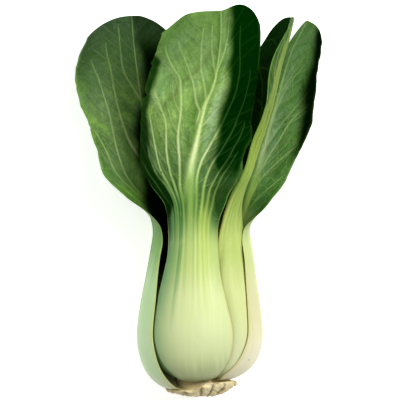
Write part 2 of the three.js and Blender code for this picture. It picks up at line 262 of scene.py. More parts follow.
veinStyle = {   # the small side veins and the stalk's ribs, in mm
    "every": 7.5, "midribEvery": 9, "midribFrom": 122,
    "long": (11, 20), "lean": (0.6, 0.9), "strong": (0.14, 0.34),
    "width": 0.34, "endWidth": 0.24, "fadeIn": 1.2,
    "ribWidth": (1.5, 0.85), "midribWidth": (3.0, 2.2),   # on the stalk, at the blade
}


def veinField(leaf, t, s):
    rows = t[:, 0]
    wide = {-1: curveAt(leaf["t"], leaf["wNeg"], rows), 1: curveAt(leaf["t"], leaf["wPos"], rows)}
    pale, rise = np.zeros_like(s), np.zeros_like(s)
    far = np.full_like(s, 30.0)
    rng = np.random.default_rng(leaf["seed"])
    top = leaf["t"][-1]
    start = leaf["colourAt"]

    def draw(line, t0, t1, w0, w1, strong, soft=5.0):
        nonlocal pale, rise, far
        slope = np.gradient(line, rows)
        away = np.abs(s - line[:, None]) / np.sqrt(1 + slope**2)[:, None]
        done = np.clip((rows - t0) / max(t1 - t0, 1), 0, 1)
        width = (w1 + (w0 - w1) * (1 - done) ** 1.5)[:, None]
        fade = smoothStep(t0 - 0.6 * soft, t0 + 0.4 * soft, rows) * (1 - smoothStep(t1 - soft, t1, rows))
        fade = fade[:, None]
        shape = bell(away, width) * fade
        pale = np.maximum(pale, shape * strong)
        rise = np.maximum(rise, shape * strong * np.minimum(width, 1.4))
        far = np.minimum(far, away + 30 * (1 - fade) * (fade < 0.5))

    def branches(line, t0, t1, every, sides):   # curved side veins, each up to the next main one
        for side in sides:
            at = t0 + every * rng.uniform(0.2, 0.8)
            while at < t1 - 4:
                end = at + rng.uniform(*veinStyle["long"])
                done = np.clip((rows - at) / (end - at), 0, 1.5)
                base = np.interp(at, rows, line)
                lean = side * (end - at) * rng.uniform(*veinStyle["lean"])
                path = base + lean * (1.35 * done - 0.45 * done**2)
                k = int(np.searchsorted(rows, at + 1.0))
                for other, otherFrom, otherTo in lines:
                    gap = (path - other) * side
                    met = (rows > at + 1) & (rows < end) & (gap > 0)
                    met = met & (rows > otherFrom - 8) & (rows < otherTo)
                    if met.any() and gap[min(k, len(rows) - 1)] < -0.3:
                        end = min(end, rows[met][0])
                draw(path, at, end, veinStyle["width"], veinStyle["endWidth"],
                     rng.uniform(*veinStyle["strong"]), veinStyle["fadeIn"])
                at += every * rng.uniform(0.75, 1.3)

    lines = [(0 * rows, start, top)]
    for vein in leaf["veins"]:
        (t0, _), (t1, u1) = vein["line"][0], vein["line"][-1]
        line = lineAt(vein["line"], rows) * wide[1 if u1 > 0 else -1]
        draw(line, t0 - 6, t1, vein["width"], veinStyle["endWidth"], vein["strong"])
        lines.append((line, t0, t1))
    for line, t0, t1 in lines[1:]:
        branches(line, t0 + 8, t1, veinStyle["every"], [np.sign(np.interp(t1, rows, line))])
    done = np.clip((rows - start) / (top - start), 0, 1)
    width = leaf["midrib"] * (1 - done) ** leaf["taper"] + 0.26
    mid = lineAt(leaf["midline"], rows)
    shape = bell(s - mid[:, None], width[:, None])
    shape = shape * smoothStep(start - 6, start + 4, rows)[:, None]
    if leaf["ribBand"]:
        edge = lineAt(leaf["ribBand"], rows)[:, None]
        shape = np.maximum(shape, smoothStep(-1.2, 1.2, s + edge) * (1 - smoothStep(0.5, 3, s))
                           * (0.72 + 0.28 * softNoise(s * 1.6 + 30, t / 16, leaf["seed"])) * (t > start - 10))
    pale = np.maximum(pale, shape)
    rise = np.maximum(rise, shape * 0.4)
    far = np.minimum(far, np.abs(s - mid[:, None]))
    branches(mid, veinStyle["midribFrom"], top - 4, veinStyle["midribEvery"], [-1, 1])
    return pale * leaf["veinStrength"], rise, far


def mainVein(width, strong, *line):   # line: mm along the leaf, share of its half width
    return {"width": width, "strong": strong, "line": line}


def fan(count, seed, spread=0.95, first=0.2, width=0.9):   # main veins to both sides
    rng = np.random.default_rng(seed)
    veins = []
    for side in (-1, 1):
        for i in range(count):
            u0 = side * (first + (0.88 - first) * i / max(count - 1, 1))
            t1 = 186 - 68 * (i / max(count - 1, 1)) ** 0.8 + rng.uniform(-3, 3)
            t0 = 94 + rng.uniform(-2, 2)
            mid = u0 + side * (spread - abs(u0)) * 0.3
            veins.append(mainVein(width * rng.uniform(0.8, 1.1), 0.9,
                                  [t0, u0], [t0 + (t1 - t0) * 0.55, mid], [t1, side * spread]))
    return veins


def midribVeins(starts, seed, sweep=34, width=0.7):   # laterals that leave the midrib higher up
    rng = np.random.default_rng(seed)
    veins = []
    for i, t0 in enumerate(starts):
        side = 1 if i % 2 else -1
        t1 = min(t0 + sweep + rng.uniform(-4, 4), 192)
        far = side * min(0.95, 0.95 * (t1 - t0) / sweep)
        veins.append(mainVein(width * rng.uniform(0.85, 1.1), 0.8,
                              [t0, 0.0], [t0 + (t1 - t0) * 0.5, far * 0.38], [t1, far]))
    return veins


def leafFaces(leaf):
    u, v = np.meshgrid(np.linspace(-1, 1, leaf["columns"] + 1), np.linspace(0, 1, leaf["rows"] + 1))
    length = leaf["t"][-1]
    t = leaf["t"][0] + (length - leaf["t"][0]) * v
    s = u * halfWidth(leaf, t, u)
    a = np.abs(u)
    seed = leaf["seed"]
    side = np.where(u < 0, 0, 40)
    ragged = 0.012 * softNoise(t / 7, side, seed + 1) + 0.008 * softNoise(t / 2.4, side, seed + 2)
    s = s * (1 + smoothStep(*head["opens"], t) * a**4 * ragged)
    lift = 0 * s
    for notch in leaf["notches"]:
        onSide = u * notch["side"] > 0
        past = t - notch["at"]
        s = s * (1 - notch["deep"] * onSide * bell(past, notch["long"]) * a**6)
        lift = lift + notch["lift"] * onSide * a**5 * np.tanh(past / 1.2) * bell(past, 11)
    crown = np.where(u < 0, leaf["crown"][0] * a ** leaf["crown"][1],
                     leaf["crown"][2] * a ** leaf["crown"][3] - leaf["dip"] * np.sin(np.pi * a))
    tt = t - crown * smoothStep(length * 0.5, length, t)
    near, nearNormal = wrapped(leaf, s, np.minimum(tt, 100))
    free, freeNormal = spreadOut(leaf, s, np.maximum(tt, 68))
    mix = smoothStep(70, 90, tt)[..., None]
    point = near * (1 - mix) + free * mix
    normal = unitVector(nearNormal * (1 - mix) + freeNormal * mix)
    opened = smoothStep(*head["opens"], tt)
    swing = np.sin(2 * np.pi * tt / leaf["waveLength"] + leaf["phase"] * np.sign(u))
    wave = leaf["wave"] * opened * a**3 * swing + lift
    pucker = 0.5 * a**2 * softNoise(tt / 9, u * 2, seed + 3) + 0.35 * softNoise(tt / 14, s / 9 + 20, seed + 4)
    wave = wave + opened * leaf["pleat"] * pucker
    pale, rise, far = veinField(leaf, t, s)
    puff = opened * leaf["pleat"] * 0.8 * (1 - bell(far, 2.6)) * (1 - a**8)
    stalk = 1 - smoothStep(100, 114, t)
    narrowing = smoothStep(74, 96, t)
    ribWidth = between(veinStyle["ribWidth"], narrowing)
    ribs = 1.1 * bell(s, between(veinStyle["midribWidth"], narrowing))
    for vein in leaf["veins"]:
        away = (u - vein["line"][0][1]) * halfWidth(leaf, t, u)
        ribs = np.maximum(ribs, bell(away, ribWidth))
    ribs = np.clip(ribs, 0, 1)
    fluted = smoothStep(34, 92, t) * stalk
    furrow = (1 - ribs) * (0.16 * smoothStep(40, 78, t) + 0.75 * smoothStep(76, 97, t)) * stalk
    point = point + normal * (wave + puff)[..., None]
    fat = flesh(leaf, s, t)
    out = 0.7 * opened
    rim = smoothStep(0.955, 1.0, a) * 0.24
    lifted = leaf["ribs"] * (ribs - 0.5) * fluted
    outer = point - normal * (fat * out + lifted + 0.45 * rise * opened - rim)[..., None]
    inner = point + normal * (head["edge"] + fat * (1 - out) + 0.12 * rise * opened - rim)[..., None]
    outer[..., 2] = np.maximum(outer[..., 2], 0)
    inner[..., 2] = np.maximum(inner[..., 2], head["edge"])
    marks = {
        "along": t / 200,
        "vein": pale,
        # beside is painted shade along the sides of the raised veins
        "beside": bell(far, 1.3) * (1 - pale) * smoothStep(96, 112, t),
        # sheen is a painted highlight, dim is painted shade in hollows
        "sheen": paintedLightMark(leaf, "sheen", s, t),
        "dim": paintedLightMark(leaf, "dim", s, t),
        "green": greenness(leaf, t, s, ribs, seed),
        "groove": np.clip(streaks(leaf["bands"], u, t) + furrow, 0, 1),
        "glow": streaks(leaf["glow"], u, t),
        "rim": smoothStep(0.93, 0.995, a) * np.where((u < 0) & (t > 100), leaf["rimNeg"], 1.0),
        # deep is painted shade where a blade turns from the light or lies in shadow, for each face
        "deep": (paintedShade(leaf, s, t, "outside"), paintedShade(leaf, s, t, "inside")),
        "stain": brownStreakMark(leaf, s, t),
    }
    return outer, inner, marks, s, t


def paintedShade(leaf, s, t, face):   # painted shade: the darkest green where a blade turns from the light or lies in another leaf's shadow
    found = np.zeros_like(s)
    for zone in leaf["deep"]:
        if zone["face"] != face:
            continue
        edge = lineAt(zone["edge"], t)
        over = (s - edge) * zone["side"] + 0.9 * softNoise(s / 5 + 9, t / 7, leaf["seed"] + 5)
        found = np.maximum(found, zone["strong"] * smoothStep(-zone["soft"], zone["soft"], over)
                           * smoothStep(zone["from"], zone["from"] + 22, t)
                           * (1 - zone.get("fade", 0) * smoothStep(172, 188, t)))
    return found


def paintedLightMark(leaf, key, s, t):   # painted light: a painted sheen where the skin faces the light, and painted shade where it lies in a hollow
    found = np.zeros_like(s)
    for zone in leaf[key]:
        middle = lineAt(zone["line"], t)
        t0, t1 = zone["line"][0][0], zone["line"][-1][0]
        patchy = 0.75 + 0.25 * softNoise(s / 4 + 40, t / 5, leaf["seed"] + 6)
        found = np.maximum(found, zone["strong"] * bell(s - middle, zone["wide"]) * patchy
                           * smoothStep(t0 - 4, t0 + 8, t) * (1 - smoothStep(t1 - 8, t1 + 4, t)))
    return found


def brownStreakMark(leaf, s, t):   # a faint brown line across the blade
    if leaf["stain"] is None:
        return np.zeros_like(s)
    (t0, s0), (t1, s1) = leaf["stain"]
    length = math.hypot(t1 - t0, s1 - s0)
    done = ((t - t0) * (t1 - t0) + (s - s0) * (s1 - s0)) / length**2
    away = ((s - s0) * (t1 - t0) - (t - t0) * (s1 - s0)) / length
    wobble = 0.8 * softNoise(done * 9 + 5, 0 * s, leaf["seed"] + 8)
    ends = smoothStep(-0.06, 0.1, done) * (1 - smoothStep(0.88, 1.06, done))
    return bell(away + wobble, 1.4) * ends


def streaks(bands, u, t):   # bands of another green down the stalk; the broad flank bands are also painted shade of a side turned from the light
    found = np.zeros_like(t)
    for band in bands:
        width = band["wide"] * (0.6 + 0.4 * smoothStep(40, 95, t))
        found = np.maximum(found, band["strong"] * bell(u - band["at"], width)
                           * smoothStep(band["from"], band["from"] + 55, t))
    return found


def greenness(leaf, t, s, ribs, seed):   # 0 on the pale stalk, 1 on the green blade
    start = leaf["colourAt"]
    edge = np.abs(s) - 0.62 * curveAt(leaf["t"], leaf["spread"], t)
    shoulder = smoothStep(0, 7, edge + 0.35 * (t - start)) * smoothStep(start - 16, start - 2, t)
    upTo = t + 3 * softNoise(s / 3, t / 9, seed) - 15 * ribs
    return np.clip(np.maximum(shoulder * (1 - 0.6 * ribs), smoothStep(start - 12, start + 2, upTo)), 0, 1)


def newGrid(name, columns, rows):
    bpy.ops.object.select_all(action="DESELECT")
    bpy.ops.mesh.primitive_grid_add(x_subdivisions=columns, y_subdivisions=rows, size=2)
    bpy.context.object.name = name
    return bpy.context.object


def pointsOf(mesh):
    co = np.empty(len(mesh.vertices) * 3)
    mesh.vertices.foreach_get("co", co)
    return co.reshape(-1, 3)


def intoFrame(points):   # from the growth axis in mm to the frame in metres
    return (points - [head["centreX"], head["centreY"], 0]) / 1000


def addMark(mesh, key, values):
    mesh.attributes.new(key, "FLOAT", "POINT").data.foreach_set("value", values.astype(float))


def makeLeaf(name):
    leaf = leaves[name]
    outer, inner, marks, s, t = leafFaces(leaf)
    piece = newGrid(name + "Leaf", leaf["columns"], leaf["rows"])
    bpy.ops.object.mode_set(mode="EDIT")
    bpy.ops.mesh.select_all(action="SELECT")
    bpy.ops.mesh.extrude_region_move(TRANSFORM_OT_translate={"value": (0, 0, 1)})
    bpy.ops.mesh.select_all(action="SELECT")
    bpy.ops.mesh.normals_make_consistent(inside=False)
    bpy.ops.object.mode_set(mode="OBJECT")
    mesh = piece.data
    co = pointsOf(mesh)
    j = np.rint((co[:, 0] + 1) / 2 * leaf["columns"]).astype(int)
    i = np.rint((co[:, 1] + 1) / 2 * leaf["rows"]).astype(int)
    upper = co[:, 2] > 0.5
    placed = intoFrame(np.where(upper[:, None], inner[i, j], outer[i, j]))
    margin = 0.00002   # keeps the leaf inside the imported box
    low, high = np.array(cadBox[0]) + margin, np.array(cadBox[1]) - margin
    low[2] = cadBox[0][2]
    placed = np.clip(placed, low, high)
    mesh.vertices.foreach_set("co", placed.ravel())
    for key, field in marks.items():
        if isinstance(field, tuple):
            values = np.where(upper, field[1][i, j], field[0][i, j])
        else:
            values = field[i, j]
        addMark(mesh, key, values)
    addMark(mesh, "inside", upper)
    corner = np.empty(len(mesh.loops), int)
    mesh.loops.foreach_get("vertex_index", corner)
    flat = np.stack([s[i, j] / 100 + 0.5, t[i, j] / 100], -1)
    mesh.uv_layers[0].name = "leafMap"
    mesh.uv_layers["leafMap"].data.foreach_set("uv", flat[corner].ravel())
    mesh.update()
    if signedVolume(mesh) < 0:
        mesh.flip_normals()
    bpy.ops.object.shade_smooth_by_angle(angle=math.radians(70))
    print(name, "leaf made,", len(mesh.polygons), "faces")
    return piece


def signedVolume(mesh):
    mesh.calc_loop_triangles()
    tri = np.empty(len(mesh.loop_triangles) * 3, int)
    mesh.loop_triangles.foreach_get("vertices", tri)
    a, b, c = pointsOf(mesh)[tri.reshape(-1, 3)].transpose(1, 0, 2)
    return (a * np.cross(b, c)).sum() / 6


# Finishes

def shade(red, green, blue):   # 0-255 as seen, to the linear value a shader takes
    linear = [((c / 255 + 0.055) / 1.055) ** 2.4 if c > 10 else c / 255 / 12.92 for c in (red, green, blue)]
    return (*linear, 1.0)


class Tree:   # short hand for wiring a material
    def __init__(self, name):
        self.material = bpy.data.materials.new(name)
        self.material.use_nodes = True
        self.nodes = self.material.node_tree.nodes
        self.links = self.material.node_tree.links
        self.shader = self.nodes["Principled BSDF"]

    def put(self, socket, value):
        if hasattr(value, "is_output"):
            self.links.new(value, socket)
        else:
            socket.default_value = value

    def set(self, name, value):
        self.put(self.shader.inputs[name], value)

    def node(self, kind, inputs=None, **settings):
        made = self.nodes.new(kind)
        for key, value in settings.items():
            setattr(made, key, value)
        for key, value in (inputs or {}).items():
            self.put(made.inputs[key], value)
        return made

    def attribute(self, name):
        return self.node("ShaderNodeAttribute", attribute_name=name).outputs["Fac"]

    def plus(self, a, b):
        return self.node("ShaderNodeMath", {0: a, 1: b}, operation="ADD").outputs[0]

    def times(self, a, b):
        return self.node("ShaderNodeMath", {0: a, 1: b}, operation="MULTIPLY").outputs[0]

    def mix(self, factor, a, b):
        made = self.node("ShaderNodeMix", data_type="RGBA")
        self.put(made.inputs[0], factor)
        self.put(made.inputs[6], a)
        self.put(made.inputs[7], b)
        return made.outputs[2]

    def ramp(self, value, stops):
        made = self.node("ShaderNodeValToRGB", {"Fac": value})
        ramp = made.color_ramp
        ramp.interpolation = "EASE"
        while len(ramp.elements) < len(stops):
            ramp.elements.new(0.5)
        for element, (place, *colour) in zip(ramp.elements, stops):
            element.position = place
            element.color = shade(*colour)
        return made.outputs["Color"]

    def noise(self, vector, scale=1.0, detail=3.0, rough=0.55):
        return self.node("ShaderNodeTexNoise", {"Vector": vector, "Scale": scale, "Detail": detail,
                         "Roughness": rough}).outputs["Fac"]

    def cells(self, vector, scale=1.0):   # how far it is to the nearest border of a cell
        return self.node("ShaderNodeTexVoronoi", {"Vector": vector, "Scale": scale},
                         feature="DISTANCE_TO_EDGE").outputs["Distance"]

    def step(self, value, low, high, out=(0.0, 1.0)):
        return self.node("ShaderNodeMapRange", {"Value": value, "From Min": low, "From Max": high,
                         "To Min": out[0], "To Max": out[1]}, interpolation_type="SMOOTHSTEP").outputs[0]


def leafMaterial(name, look):
    tree = Tree(name)
    place = tree.node("ShaderNodeUVMap", uv_map="leafMap").outputs["UV"]

    def stretched(across, along):   # the leaf's own mm, scaled
        scale = (across * 100, along * 100, 1)
        return tree.node("ShaderNodeMapping", {"Vector": place, "Scale": scale}).outputs["Vector"]

    along, vein, green = tree.attribute("along"), tree.attribute("vein"), tree.attribute("green")
    groove, glow, rim = tree.attribute("groove"), tree.attribute("glow"), tree.attribute("rim")
    inside, deep = tree.attribute("inside"), tree.attribute("deep")
    cloud = tree.noise(stretched(0.06, 0.04))
    patch = tree.noise(stretched(0.16, 0.12), detail=4.0)
    fibre = tree.noise(stretched(1.1, 0.02), detail=2.0)
    thread = tree.noise(stretched(0.35, 0.008), detail=2.0)
    grain = tree.noise(stretched(2.2, 2.2), detail=2.0, rough=0.7)
    mottle = tree.noise(stretched(0.42, 0.34), detail=4.0, rough=0.65)

    wander = tree.plus(along, tree.times(tree.plus(thread, -0.5), 0.10))
    stalk = tree.ramp(wander, look["stalk"])
    shaded = tree.ramp(along, look["groove"])
    stalk = tree.mix(tree.times(groove, look["grooveStrength"]), stalk, shaded)
    stalk = tree.mix(tree.step(fibre, 0.35, 0.75, (0.0, look["fibreStrength"])), stalk, shaded)
    stalk = tree.mix(tree.step(patch, 0.5, 0.8, (0.0, look["warmStrength"])), stalk, look["warm"])
    stalk = tree.mix(tree.times(glow, look["glowStrength"]), stalk, look["glow"])

    cloudy = tree.step(cloud, 0.35, 0.65)
    blade = tree.mix(inside, tree.mix(cloudy, *look["bladeOut"]), tree.mix(cloudy, *look["bladeIn"]))
    blade = tree.mix(tree.step(patch, 0.4, 0.7, (0.0, look["fleckStrength"])), blade, look["fleck"])
    # painted shade along the sides of the raised veins
    blade = tree.mix(tree.times(tree.attribute("beside"), look["besideStrength"]), blade, look["tip"])
    # a painted highlight, then painted shade in the hollows
    blade = tree.mix(tree.attribute("sheen"), blade, look["sheen"])
    blade = tree.mix(tree.attribute("dim"), blade, look["tip"])
    # painted shade: the blade's foot darker where the lamina sinks between the fan veins
    blade = tree.mix(tree.step(along, 0.54, 0.72, (look["footStrength"], 0.0)), blade, look["foot"])

    warped = tree.node("ShaderNodeMix", {0: 0.12}, data_type="VECTOR")
    tree.put(warped.inputs[4], stretched(0.30, 0.22))
    drift = tree.node("ShaderNodeTexNoise", {"Vector": stretched(0.2, 0.2), "Scale": 1.0})
    tree.put(warped.inputs[5], drift.outputs["Color"])
    net = tree.step(tree.cells(warped.outputs[1]), 0.0, 0.07, (1.0, 0.0))
    fineNet = tree.step(tree.cells(stretched(0.95, 0.8)), 0.0, 0.10, (1.0, 0.0))
    blade = tree.mix(tree.times(net, look["netStrength"]), blade, look["net"])
    blade = tree.mix(tree.times(fineNet, look["fineNetStrength"]), blade, look["net"])
    blade = tree.mix(tree.step(mottle, 0.42, 0.62, (0.0, look["mottleStrength"])), blade, look["tip"])
    blade = tree.mix(tree.step(along, look["tipFrom"], 0.97, (0.0, look["tipStrength"])), blade, look["tip"])
    blade = tree.mix(tree.times(tree.attribute("stain"), look["stainStrength"]), blade, look["stain"])

    # painted shade: the darkest green where a blade turns from the light or lies in shadow, with its veins
    # dimmed
    colour = tree.mix(deep, tree.mix(green, stalk, blade), look["deep"])
    veinColour = tree.ramp(along, look["vein"])
    veinColour = tree.mix(tree.times(deep, look["veinDim"]), veinColour, look["deepVein"])
    colour = tree.mix(tree.times(vein, tree.times(green, 0.92)), colour, veinColour)
    rimColour = tree.mix(green, look["stalkRim"], look["rim"])
    colour = tree.mix(tree.times(rim, tree.step(deep, 0.0, 1.0, look["rimStrength"])), colour, rimColour)
    colour = tree.mix(tree.step(grain, 0.3, 0.7, (0.0, 0.08)), colour, shaded)

    dots = tree.node("ShaderNodeTexVoronoi", {"Vector": stretched(0.075, 0.055), "Scale": 1.0})
    drawn = tree.node("ShaderNodeSeparateColor", {"Color": dots.outputs["Color"]}).outputs[0]
    few = tree.step(drawn, 0.62, 0.64)   # a few of the dots show
    speck = tree.times(few, tree.step(dots.outputs["Distance"], 0.022, 0.040, (1.0, 0.0)))
    colour = tree.mix(tree.times(speck, look["speckStrength"]), colour, look["speck"])

    tree.set("Base Color", colour)
    gloss = tree.step(cloud, 0.3, 0.7, (look["rough"], look["rough"] + 0.12))
    tree.set("Roughness", tree.plus(gloss, tree.times(tree.plus(grain, -0.5), 0.12)))
    # the painted shade also takes the shine and the wax off
    tree.set("Specular IOR Level", tree.step(deep, 0.0, 1.0, (look["shine"], 0.0)))
    tree.set("Coat Weight", tree.step(deep, 0.0, 1.0, (look["wax"], 0.0)))
    tree.set("Coat Roughness", look["waxRough"])
    tree.set("Subsurface Weight", look["glimmer"])
    tree.set("Subsurface Scale", look["glimmerDepth"])
    tree.set("Subsurface Radius", (0.6, 1.0, 0.25))

    quilt = tree.plus(tree.times(fineNet, 0.4), tree.times(mottle, 1.2))
    quilt = tree.times(tree.plus(tree.times(net, 0.9), quilt), green)
    height = tree.plus(tree.plus(quilt, tree.times(fibre, 0.12)), tree.times(grain, 0.22))
    bump = tree.node("ShaderNodeBump", {"Height": height, "Strength": look["bump"], "Distance": 0.0003})
    tree.set("Normal", bump.outputs["Normal"])
    return tree.material


# Each look's sheen colour is a painted highlight; its deep colours, foot and vein-side darkening are painted
# shade.
baseLook = {
    "stalk": [(0.00, 160, 154, 112), (0.05, 174, 182, 134), (0.13, 196, 204, 156),
              (0.26, 200, 208, 152), (0.37, 180, 194, 118), (0.50, 140, 172, 84)],
    "groove": [(0.10, 104, 152, 98), (0.34, 76, 138, 80), (0.48, 32, 96, 40)],
    "grooveStrength": 0.85, "fibreStrength": 0.045,
    "warm": shade(206, 204, 150), "warmStrength": 0.18,
    "bladeOut": [shade(116, 156, 60), shade(158, 190, 100)],
    "bladeIn": [shade(64, 104, 36), shade(92, 132, 52)],
    "fleck": shade(84, 126, 54), "fleckStrength": 0.35, "mottleStrength": 0.30, "besideStrength": 0.5,
    "net": shade(150, 182, 104), "netStrength": 0.17, "fineNetStrength": 0.12,
    "tip": shade(50, 88, 24), "tipStrength": 0.6, "tipFrom": 0.62,
    "foot": shade(26, 78, 18), "footStrength": 0.86,
    "stain": shade(84, 106, 36), "stainStrength": 0.6, "sheen": shade(176, 200, 164),
    "deep": shade(0, 38, 0), "deepVein": shade(14, 66, 14), "veinDim": 0.93,
    "glow": shade(170, 190, 88), "glowStrength": 0.7,
    "vein": [(0.49, 140, 180, 84), (0.54, 170, 200, 112), (0.62, 210, 224, 162),
             (0.70, 194, 212, 142), (0.80, 162, 188, 110), (0.92, 136, 168, 90)],
    "rim": shade(112, 150, 70), "stalkRim": shade(194, 186, 110), "rimStrength": (0.55, 0.12),
    "speck": shade(70, 56, 30), "speckStrength": 0.75,
    "rough": 0.44, "wax": 0.05, "waxRough": 0.42, "shine": 0.36,
    "glimmer": 0.12, "glimmerDepth": 0.0015, "bump": 0.55,
}


# The five outer leaves and three inner ones, each with what sets it apart

leaves = {}

leaves["left"] = {
    **outerLeaf,
    "angle": -95, "drop": -3.0, "lean": -0.7, "tuck": 0.4,
    "wNeg": [10, 20, 26, 28, 25, 21.5, 19, 15.5, 14, 17, 22, 25, 29, 31, 21],
    "wPos": [15, 23.5, 26, 25, 23.5, 20, 17.5, 16, 20.2, 24.4, 26.6, 28.4, 32.2, 31.7, 24],
    "path": [[100, -24.4, 98, 27], [118, -26.5, 117, 22], [138, -28.6, 137, 16],
             [159, -31.5, 157.5, 10], [178, -34, 176, 4.6], [196, -35.5, 193, 1.3]],
    "turnT": [66, 86, 100, 115, 196], "turn": [-95, -100, -140, -168, -178],
    "cupNeg": [2.4, 2.8, 2.0, 0.8, 0.5, 0.4], "cupPos": [2.4, 2.8, 1.0, 0.5, 0.4, 0.3],
    "crown": [14, 2.0, 11, 2.2], "seed": 11, "midrib": 2.4, "taper": 3.0,
    "veins": [
        mainVein(0.7, 0.9, [86, 0.10], [93, 0.16], [105, 0.42], [122, 0.57], [142, 0.60], [165, 0.62],
                 [180, 0.74]),
        mainVein(0.55, 0.7, [86, 0.20], [92, 0.22], [102, 0.72], [111, 0.95]),
        mainVein(0.6, 0.7, [88, 0.14], [96, 0.30], [110, 0.66], [126, 0.82], [142, 0.96]),
        mainVein(0.75, 0.9, [116, 0.04], [123, 0.22], [131, 0.34], [145, 0.42], [168, 0.41], [186, 0.50]),
        mainVein(0.55, 0.9, [142, -0.04], [148, 0.0], [158, 0.12], [166, 0.21], [184, 0.24], [194, 0.30]),
        mainVein(0.45, 0.6, [134, 0.0], [150, -0.16], [166, -0.4], [180, -0.6]),
        mainVein(0.5, 0.6, [112, 0.0], [126, -0.3], [142, -0.6]),
    ],
    # a teal band down the outer flank, darker there also as painted shade of the side turned from the light
    "bands": [{"at": 0.02, "wide": 0.22, "strong": 0.6, "from": 8}],
    "veinStrength": 0.62,
    # sheen is a painted highlight; deep is painted shade where the front leaf shadows this blade
    "sheen": [{"line": [[104, 16], [120, 15], [140, 18], [160, 20], [178, 20]], "wide": 6, "strong": 0.16}],
    "deep": [{"face": "inside", "side": -1, "soft": 3.2, "strong": 1.0, "from": 48, "fade": 0.45,
              "edge": [[60, 15], [85, 13], [95, 9], [102, 6], [111, 4.5], [125, 6], [137, 4.5],
                       [164, -3], [194, 0.5]]}],
}

leaves["right"] = {
    **outerLeaf,
    "angle": 104, "drop": 2.0, "lean": 1.3, "tuck": 0.4,
    "wNeg": [18, 30.5, 32, 29.5, 27, 23.5, 20, 17, 14, 15.2, 18.5, 19.9, 18.7, 16.3, 12.4],
    "wPos": [9, 19, 26, 28, 25, 20, 15, 12, 12, 15, 17, 15, 9.6, 5.4, 3],
    "path": [[100, 26, 97.5, 24], [118, 30.4, 115.2, 20], [138, 36, 135.6, 15.5],
             [159, 41.3, 154.5, 10.5], [178, 47.1, 173.3, 4.8], [194, 54.8, 189, 1.3]],
    "turnT": [66, 86, 100, 115, 196], "turn": [104, 108, 140, 165, 177],
    "cupNeg": [2.4, 2.8, 1.0, 0.5, 0.4, 0.3], "cupPos": [2.4, 2.8, 2.0, 0.8, 0.5, 0.4],
    "crown": [7, 2.6, 12, 1.6], "seed": 12, "midrib": 2.2,
    "notches": [{"side": -1, "at": 190, "long": 3.0, "deep": -0.05, "lift": 0.8}],
    "veinStrength": 0.5,
    # sheen is a painted highlight; deep is painted shade along the margin turned from the light
    "sheen": [{"line": [[108, -3], [130, -2], [150, -1], [168, -3], [186, -3]], "wide": 4, "strong": 0.22}],
    "deep": [{"face": "inside", "side": -1, "soft": 3.5, "strong": 1.0, "from": 112,
              "edge": [[112, -16], [128, -15.5], [146, -14], [162, -11.5], [178, -11.5], [194, -6]]}],
    "veins": [
        mainVein(0.6, 0.7, [88, -0.12], [98, -0.3], [108, -0.62], [118, -0.95]),
        mainVein(0.6, 0.75, [92, -0.06], [110, -0.18], [122, -0.54], [134, -0.94]),
        mainVein(0.6, 0.8, [104, 0.0], [113, -0.06], [134, -0.37], [144, -0.51], [160, -0.92]),
        mainVein(0.5, 0.7, [124, 0.0], [136, -0.2], [150, -0.48], [168, -0.88]),
        mainVein(0.45, 0.7, [138, 0.0], [148, -0.05], [162, -0.2], [178, -0.6]),
        mainVein(0.4, 0.6, [154, 0.0], [166, -0.2], [182, -0.5]),
        mainVein(0.5, 0.6, [112, 0.0], [124, 0.4], [140, 0.9]),
        mainVein(0.45, 0.6, [130, 0.0], [144, 0.4], [160, 0.9]),
    ],
}

